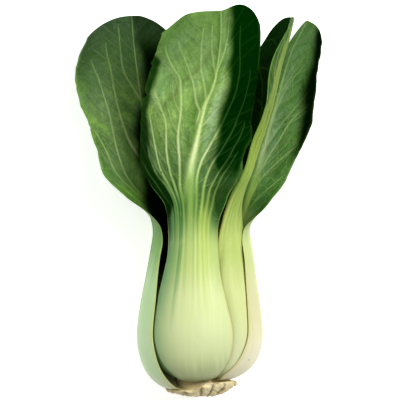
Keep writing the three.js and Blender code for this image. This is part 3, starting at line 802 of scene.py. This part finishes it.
leaves["front"] = {
    **outerLeaf,
    "angle": -12, "drop": 1.6, "tuck": 1.6, "under": ["left", "right"],
    "wNeg": [8, 16, 22, 23.5, 20, 16, 13, 12.5, 15, 25.5, 29.5, 29.5, 32, 33, 29],
    "wPos": [8, 16.5, 23, 24.5, 21, 17, 15, 14.5, 18, 23.2, 25.6, 28.9, 25.6, 20.3, 20.8],
    "path": [[98, -4.7, 95, 55], [108, -4.8, 105, 56.2], [125, -3.4, 121.6, 57.3],
             [146, 1.4, 141.8, 57.5], [158, 6.3, 153, 57.3], [170, 9.2, 164, 56],
             [184, 10.6, 177.6, 54], [196, 10.7, 189.6, 51.5]],
    "turnT": [66, 86, 100, 130, 196], "turn": [-12, -10, -4, 0, 0],
    "cupNeg": [2.4, 2.4, 2.2, 1.5, 0.7, 0.6], "cupPos": [2.4, 2.4, 1.2, 0.6, 0.5, 0.4],
    "crown": [12, 4.2, 5, 12], "dip": 3.4, "fold": 28, "columns": 132, "rows": 340,
    "seed": 13, "midrib": 2.9, "taper": 3.0,
    "midline": [[100, -0.4], [115, -0.1], [126, 1.0], [138, 1.1], [150, 0.7], [160, 0.3],
                [170, -0.5], [196, -0.5]],
    # deep is painted shade: the right part turned from the light, the left margin curled under and the lower
    # corners
    "deep": [{"face": "outside", "side": 1, "soft": 2.8, "strong": 1.0, "from": 98,
              "edge": [[110, 14], [120, 11], [130, 10.5], [148, 8], [159, 6.5], [170, 4.6], [190, 3.6]]},
             {"face": "outside", "side": 1, "soft": 5, "strong": 0.66, "from": 80,
              "edge": [[96, 10], [110, 9], [196, 9]]},
             {"face": "outside", "side": -1, "soft": 1.6, "strong": 0.92, "from": 74,
              "edge": [[92, -10.5], [98, -8.6], [103, -9.6], [107, -12.5], [112, -17], [118, -20.8],
                       [125, -22.8], [135, -24.8], [152, -26.3], [162, -27.8], [172, -29.5],
                       [180, -33], [188, -42]]},
             {"face": "outside", "side": 1, "soft": 1.4, "strong": 0.7, "from": 76,
              "edge": [[92, 14], [98, 11.5], [104, 13], [114, 40]]}],
    # sheen is a painted highlight; dim is painted shade in the hollow beside the midrib
    "sheen": [{"line": [[122, 6.5], [136, 6], [150, 5.5], [160, 4]], "wide": 2.6, "strong": 0.5},
              {"line": [[112, -5], [122, -6], [134, -6]], "wide": 1.6, "strong": 0.3},
              {"line": [[140, -22], [160, -24], [176, -22], [190, -16]], "wide": 6, "strong": 0.3},
              {"line": [[150, -8], [166, -8], [186, -8]], "wide": 5, "strong": 0.2}],
    "dim": [{"line": [[108, -8], [122, -8], [134, -8], [146, -4.5], [154, -3.5]],
             "wide": 3.6, "strong": 0.22}],
    "stain": [[139, -19.3], [178, -3.5]],
    "glow": [{"at": 0.45, "wide": 0.22, "strong": 0.8, "from": 28}],
    "veins": [
        mainVein(0.55, 0.9, [96, -0.70], [101, -0.79], [107, -0.81], [113, -0.87], [120, -0.96]),
        mainVein(0.6, 0.9, [96, -0.56], [106, -0.56], [110, -0.66], [115, -0.72], [121, -0.79],
                 [128, -0.86]),
        mainVein(0.65, 0.9, [96, -0.48], [108, -0.50], [115, -0.58], [122, -0.64], [130, -0.73],
                 [141, -0.87]),
        mainVein(0.7, 0.9, [96, -0.37], [106, -0.35], [114, -0.39], [122, -0.44], [135, -0.53],
                 [143, -0.70], [152, -0.88]),
        mainVein(0.8, 0.9, [96, -0.25], [104, -0.24], [111, -0.20], [120, -0.21], [130, -0.28],
                 [144, -0.35], [152, -0.48], [165, -0.70], [184, -0.86]),
        mainVein(0.8, 0.9, [96, 0.16], [104, 0.15], [112, 0.14], [119, 0.19], [128, 0.30], [138, 0.38],
                 [153, 0.43], [174, 0.44], [188, 0.45]),
        mainVein(0.75, 0.9, [96, 0.32], [104, 0.32], [110, 0.32], [118, 0.40], [127, 0.54], [138, 0.62],
                 [152, 0.67], [170, 0.7]),
        mainVein(0.65, 0.9, [95, 0.47], [106, 0.47], [113, 0.55], [122, 0.70], [134, 0.78], [150, 0.84]),
        mainVein(0.55, 0.9, [94, 0.62], [103, 0.61], [112, 0.65], [119, 0.77], [130, 0.88]),
        mainVein(0.5, 0.75, [144, -0.03], [149, -0.17], [156, -0.32], [166, -0.47], [184, -0.68]),
        mainVein(0.45, 0.75, [150, 0.0], [156, -0.12], [164, -0.24], [180, -0.29], [191, -0.28]),
        mainVein(0.4, 0.6, [134, 0.03], [142, 0.16], [152, 0.3]),
        mainVein(0.45, 0.7, [162, 0.0], [174, -0.12], [192, -0.16]),
        mainVein(0.45, 0.7, [166, 0.0], [178, 0.12], [192, 0.18]),
    ],
    "notches": [{"side": -1, "at": 151, "long": 1.6, "deep": 0.07, "lift": 1.1}],
    "rimNeg": 0.3,
    # the broad first band is the flank's teal and also painted shade of the flank turned from the light
    "bands": [{"at": -1.0, "wide": 0.76, "strong": 1.0, "from": -34},
              {"at": -0.80, "wide": 0.13, "strong": 1.0, "from": 24},
              {"at": -0.36, "wide": 0.11, "strong": 0.95, "from": 22},
              {"at": 0.12, "wide": 0.09, "strong": 0.35, "from": 40}],
}

leaves["back"] = {
    **outerLeaf,
    "angle": 188, "drop": 1.0, "under": ["left", "right"],
    "t": [0, 12, 24, 36, 50, 64, 78, 90, 100, 112, 128, 142, 154, 166, 176],
    "wNeg": [8, 16, 23, 25, 22, 18, 14, 12, 13, 17, 22, 25, 25, 22, 15],
    "wPos": [8, 16, 23, 25, 23, 18, 14, 12, 13, 18, 22, 25, 25, 22, 15],
    "path": [[100, -5, 98, 6], [117, -7, 115, 4.6], [137, -9, 135, 3.2],
             [157, -11, 155, 2.2], [176, -12.5, 174, 1.6]],
    "turnT": [66, 86, 110, 176], "turn": [188, 186, 182, 182],
    "cupNeg": [2.4, 2.2, 1.4, 0.6, 0.2, 0.1], "cupPos": [2.4, 2.2, 1.4, 0.6, 0.2, 0.1],
    "wave": 0.8, "columns": 84, "rows": 170, "seed": 14, "midrib": 2.4,
    "veins": fan(4, 41, first=0.28, spread=0.9) + midribVeins([116, 126, 136, 144], 42, sweep=26),
}

leaves["rightFront"] = {
    **outerLeaf,
    "angle": 47, "drop": 1.4, "under": ["right", "front"],
    "t": [0, 12, 24, 36, 50, 64, 78, 90, 100, 112, 128, 146, 162, 177, 193],
    "wNeg": [7, 12, 17, 18, 17, 15, 11, 8, 6, 5.5, 6.5, 11, 14, 13, 9],
    "wPos": [7, 12, 17, 18, 17, 15, 12, 9, 10, 13, 18, 21, 23.5, 28.5, 27],
    "path": [[100, 18.6, 98, 46.5], [112, 23, 111, 46], [126, 28, 124.5, 45],
             [140, 32.4, 136.8, 43.5], [153, 35.9, 149.2, 41.5], [168, 39.5, 164.2, 39],
             [181, 43.4, 176.9, 36], [192, 46.3, 186.6, 33.5]],
    "turnT": [66, 86, 100, 120, 150, 196], "turn": [47, 52, 66, 84, 96, 100],
    "cupNeg": [2.6, 2.8, 3.2, 3.4, 3.2, 2.8], "cupPos": [2.6, 2.8, 3.0, 2.4, 1.9, 1.6],
    "crown": [3, 2.2, 13, 4], "dip": 4.2, "wave": 1.0, "seed": 15, "midrib": 5.0, "taper": 1.2,
    "ribBand": [[90, 12], [140, 12], [150, 9.5], [162, 8.6], [177, 7.4], [193, 5]],
    # deep is painted shade on the far half's inner face
    "deep": [{"face": "inside", "side": 1, "soft": 2.0, "strong": 0.9, "from": 92,
              "edge": [[100, -3], [193, -3]]}],
    "veins": fan(3, 51, first=0.4) + midribVeins([118, 124, 134, 142, 150, 158], 52),
}

leaves["innerLeft"] = {
    **innerLeaf,
    "angle": -62,
    "path": [[100, -14, 98, 37], [120, -15.5, 118, 37], [140, -16.5, 137, 35.5], [148, -17, 145, 34.5]],
    "turnT": [66, 86, 148], "turn": [-62, -62, -60], "seed": 16,
}

leaves["innerRight"] = {
    **innerLeaf,
    "angle": 30,
    "path": [[100, 8, 98, 43.5], [120, 9, 118, 43], [138, 9.5, 135, 41.5], [148, 10, 144, 40.5]],
    "turnT": [66, 86, 148], "turn": [30, 30, 20], "seed": 17,
}

leaves["innerBack"] = {
    **innerLeaf,
    "angle": 165,
    "wNeg": [5, 9, 13, 14, 12, 10, 8, 8, 8, 9, 10, 9, 5],
    "wPos": [5, 9, 13, 14, 12, 10, 8, 8, 8, 9, 10, 9, 5],
    "path": [[100, 3, 98, 15.5], [120, 3, 118, 13], [138, 3, 136, 11], [148, 3, 146, 10.5]],
    "turnT": [66, 86, 148], "turn": [165, 168, 176], "seed": 18,
}

for name in ("innerLeft", "innerRight", "innerBack"):
    leaves[name]["veins"] = [
        mainVein(0.6, 0.9, [92, side * first], [104, side * (first + 0.1)], [last, side * 0.95])
        for side in (-1, 1) for first, last in ((0.25, 142), (0.5, 128), (0.75, 114))]

# Here too, sheen is a painted highlight colour and deep a painted shade colour.
looks = {
    "left": {**baseLook, "grooveStrength": 0.8, "net": shade(120, 158, 70),
             "tip": shade(26, 62, 8), "tipStrength": 0.95, "tipFrom": 0.70,
             "deep": shade(1, 12, 1), "deepVein": shade(6, 30, 6),
             "bladeIn": [shade(78, 118, 40), shade(120, 156, 66)], "footStrength": 0.3,
             "stalk": [(0.00, 186, 180, 142), (0.10, 194, 218, 172),
                       (0.28, 182, 214, 156), (0.40, 130, 176, 90), (0.50, 104, 148, 62)]},
    "right": {**baseLook, "grooveStrength": 0.4, "footStrength": 0.3,
              "stalk": [(0.00, 204, 194, 158), (0.10, 214, 208, 176),
                        (0.24, 197, 193, 148), (0.40, 182, 194, 120), (0.50, 140, 168, 78)],
              "deep": shade(1, 7, 1), "deepVein": shade(4, 22, 4), "sheen": shade(150, 184, 146),
              "bladeIn": [shade(44, 92, 16), shade(84, 128, 46)]},
    "front": baseLook,
    "back": {**baseLook, "grooveStrength": 0.5},
    "rightFront": {**baseLook, "grooveStrength": 0.35,
                   "stalk": [(0.00, 194, 190, 148), (0.10, 200, 204, 164),
                             (0.26, 196, 202, 142), (0.40, 172, 186, 108), (0.50, 146, 166, 84)],
                   "bladeOut": [shade(12, 44, 5), shade(28, 64, 13)], "net": shade(50, 90, 28),
                   "vein": [(0.48, 160, 178, 88), (0.70, 140, 160, 66),
                            (0.95, 116, 142, 52)],
                   "shine": 0.16, "rough": 0.55},
}
for name in ("innerLeft", "innerRight", "innerBack"):
    looks[name] = {**baseLook, "bladeOut": [shade(110, 150, 70), shade(134, 172, 88)]}

for name in leaves:
    piece = makeLeaf(name)
    piece.data.materials.append(leafMaterial(name + "Skin", looks[name]))
    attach(piece, "root")
    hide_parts(name + "_stalk", name + "_blade")


# The butt: a broken stub of stem with radial cracks and old leaf scars

butt = {
    "around": 180, "rows": 66,
    "radius": [0, 4, 8, 12, 15.2, 16.7, 16.9, 16.2, 12.6, 11.8, 10.5, 6.0, 0],
    "height": [0.9, 0.5, 0.5, 1.4, 3.1, 4.7, 6.0, 7.2, 7.2, 9.2, 12.5, 15.0, 16.0],
    "cracks": 15, "crackDeep": 0.75, "crackUp": 0.55, "seed": 7,
    "leftDrop": 4.8, "lipOut": 3.4, "lipUp": 1.5, "flapOut": 1.6,
    "pale": shade(228, 216, 174), "tan": shade(206, 190, 142),
    "brown": shade(150, 122, 76), "scar": shade(98, 70, 40),
}


def makeButt():
    piece = newGrid("buttStub", butt["around"], butt["rows"])
    mesh = piece.data
    co = pointsOf(mesh)
    turn = np.pi * (co[:, 0] + 1)
    turn = np.where(co[:, 0] > 0.9999, 0, turn)
    at = (co[:, 1] + 1) / 2 * (len(butt["radius"]) - 1)
    knots = np.arange(len(butt["radius"]))
    r, y = curveAt(knots, butt["radius"], at), curveAt(knots, butt["height"], at)
    r = np.maximum(r, 0)
    low = smoothStep(0.3, 2.0, at) * (1 - smoothStep(6.2, 7.4, at))

    def closed(grain, seed):   # noise that meets itself all the way round
        x, z = np.cos(turn) * grain, np.sin(turn) * grain
        return 0.5 * (softNoise(x + 30, z + 30 + at * 2, seed)
                      + softNoise(x * 2.2 + 50, z * 2.2 + 50 + at * 3, seed + 1))

    left = smoothStep(108, 84, np.abs(wrapAngle(np.degrees(turn) + 95)))
    y = y - butt["leftDrop"] * left * np.clip((at - 3) / 5, 0, 1) * (at < 8.2)
    y = y + low * (0.9 * closed(2.5, 3) + 0.5 * closed(6, 9))
    r = r + low * (0.8 * closed(3, 5) + 0.4 * closed(9, 12))
    rng = np.random.default_rng(butt["seed"])
    crack = np.zeros_like(r)
    for i in range(butt["cracks"]):
        angle = 360 * (i + rng.uniform(-0.3, 0.3)) / butt["cracks"]
        wide = rng.uniform(1.6, 3.2)
        away = wrapAngle(np.degrees(turn) - angle)
        crack = np.maximum(crack, rng.uniform(0.5, 1) * bell(away, wide))
    crack = crack * smoothStep(1.2, 3.0, at) * (1 - smoothStep(5.6, 6.6, at))
    r = r - butt["crackDeep"] * crack
    y = y + butt["crackUp"] * crack
    lip = smoothStep(85, 30, np.abs(wrapAngle(np.degrees(turn) - 12)))
    lip = lip * smoothStep(4.4, 6.4, at) * (1 - smoothStep(7.3, 8.1, at)) * (0.75 + 0.25 * closed(4, 21))
    r = r + butt["lipOut"] * lip
    y = y + butt["lipUp"] * lip
    flap = bell(wrapAngle(np.degrees(turn) - 84), 8) * bell(at - 6.0, 0.8)
    r = r + butt["flapOut"] * flap
    placed = np.stack([r * np.sin(turn), np.maximum(y, 0.05), head["axisHeight"] + r * np.cos(turn)], -1)
    mesh.vertices.foreach_set("co", intoFrame(placed).ravel())
    addMark(mesh, "crack", crack)
    mesh.update()
    bpy.ops.object.mode_set(mode="EDIT")
    bpy.ops.mesh.select_all(action="SELECT")
    bpy.ops.mesh.remove_doubles(threshold=0.00001)
    bpy.ops.mesh.normals_make_consistent(inside=False)
    bpy.ops.object.mode_set(mode="OBJECT")
    bpy.ops.object.shade_smooth_by_angle(angle=math.radians(60))
    return piece


def buttMaterial():
    tree = Tree("buttSkin")
    place = tree.node("ShaderNodeTexCoord").outputs["Object"]
    cloud = tree.noise(place, 160.0, detail=5.0, rough=0.5)
    grain = tree.noise(place, 1100.0, rough=0.5)
    rings = tree.cells(place, 420.0)
    colour = tree.mix(tree.step(cloud, 0.35, 0.65), butt["pale"], butt["tan"])
    colour = tree.mix(tree.step(grain, 0.6, 0.85, (0.0, 0.4)), colour, butt["brown"])
    colour = tree.mix(tree.step(rings, 0.0, 0.07, (0.22, 0.0)), colour, butt["brown"])
    colour = tree.mix(tree.times(tree.attribute("crack"), 0.75), colour, butt["scar"])
    tree.set("Base Color", colour)
    tree.set("Roughness", tree.step(grain, 0.3, 0.7, (0.62, 0.85)))
    height = tree.plus(tree.times(cloud, 0.6), tree.times(grain, 0.4))
    bump = tree.node("ShaderNodeBump", {"Height": height, "Strength": 0.8, "Distance": 0.0005})
    tree.set("Normal", bump.outputs["Normal"])
    return tree.material


stub = makeButt()
stub.data.materials.append(buttMaterial())
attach(stub, "root")
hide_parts("butt")
print("butt made")


# Table, light and camera

studio = {
    "camera": (0.00027, 0.00091, 0.780), "lens": 135, "sensor": 36,
    "key": {"place": (0.34, 0.26, 0.68), "size": 0.34, "power": 5.4},
    "fill": {"place": (-0.40, 0.16, 0.66), "size": 0.7, "power": 1.7},
    "sky": 0.26, "paper": 0.95, "paperGlow": 0.42,
}


def addLight(name, spec):
    bpy.ops.object.light_add(type="AREA", location=spec["place"])
    lamp = bpy.context.object
    lamp.name = name
    lamp.data.size = spec["size"]
    lamp.data.energy = spec["power"]
    aim = math.atan2(math.hypot(spec["place"][0], spec["place"][1]), spec["place"][2])
    lamp.rotation_euler = (0, aim, math.atan2(spec["place"][1], spec["place"][0]))


bpy.ops.object.select_all(action="DESELECT")
bpy.ops.mesh.primitive_plane_add(size=6, location=(0, 0, -0.0002))
table = bpy.context.object
table.name = "paleTable"
paper = Tree("paleTable")
paper.set("Base Color", (studio["paper"],) * 3 + (1,))
paper.set("Emission Color", (1, 1, 1, 1))
paper.set("Emission Strength", studio["paperGlow"])
paper.set("Roughness", 0.9)
paper.set("Specular IOR Level", 0.1)
table.data.materials.append(paper.material)

addLight("keyLight", studio["key"])
addLight("fillLight", studio["fill"])
world = bpy.data.worlds.new("studioSky")
world.use_nodes = True
sky = world.node_tree.nodes["Background"]
sky.inputs["Color"].default_value = (1, 1, 1, 1)
sky.inputs["Strength"].default_value = studio["sky"]
scene = bpy.context.scene
scene.world = world

bpy.ops.object.camera_add(location=studio["camera"])
camera = bpy.context.object
camera.name = "photoCamera"
camera.data.lens = studio["lens"]
camera.data.sensor_width = studio["sensor"]
camera.data.clip_start = 0.01
scene.camera = camera
scene.view_settings.view_transform = "Standard"
scene.view_settings.look = "Medium High Contrast"
print("table, lights and camera set")
